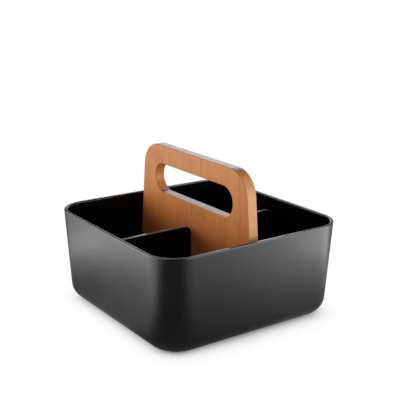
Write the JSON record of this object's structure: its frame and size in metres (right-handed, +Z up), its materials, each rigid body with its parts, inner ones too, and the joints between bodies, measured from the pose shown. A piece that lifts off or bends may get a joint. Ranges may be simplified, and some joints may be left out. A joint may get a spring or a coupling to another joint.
{
  "type": "utensil caddy",
  "caption": "Square moulded tray with divided compartments, a bamboo board handle across its middle and loose divider plates.",
  "frame": {"origin": "on the table, under the middle of the tray", "axes": "+Z up; +X along the handle board, to the right seen from the front; -Y is the front"},
  "size_m": [0.21, 0.21, 0.1565],
  "materials": {
    "tray_plastic": "satin black with a fine moulded grain",
    "divider_plastic": "smooth black",
    "bamboo": "caramel bamboo, oiled, upright grain",
    "screw_steel": "zinc-plated",
    "foot_rubber": "soft matt"
  },
  "bodies": {
    "caddy": {"tray": "tray_plastic", "handle_board": "bamboo", "handle_screw_1": "screw_steel", "handle_screw_2": "screw_steel", "handle_screw_3": "screw_steel", "handle_screw_4": "screw_steel", "screw_washer_1": "screw_steel", "screw_washer_2": "screw_steel", "screw_washer_3": "screw_steel", "screw_washer_4": "screw_steel", "foot_front_left": "foot_rubber", "foot_front_right": "foot_rubber", "foot_back_left": "foot_rubber", "foot_back_right": "foot_rubber"},
    "front_divider": {"divider_front": "divider_plastic"},
    "back_divider": {"divider_back": "divider_plastic"}
  },
  "joints": [
    {"name": "front_divider_lift", "type": "slide", "parent": "caddy", "child": "front_divider", "axis": [0, 0, 1], "range_m": [0, 0.16]},
    {"name": "back_divider_lift", "type": "slide", "parent": "caddy", "child": "back_divider", "axis": [0, 0, 1], "range_m": [0, 0.16]}
  ]
}
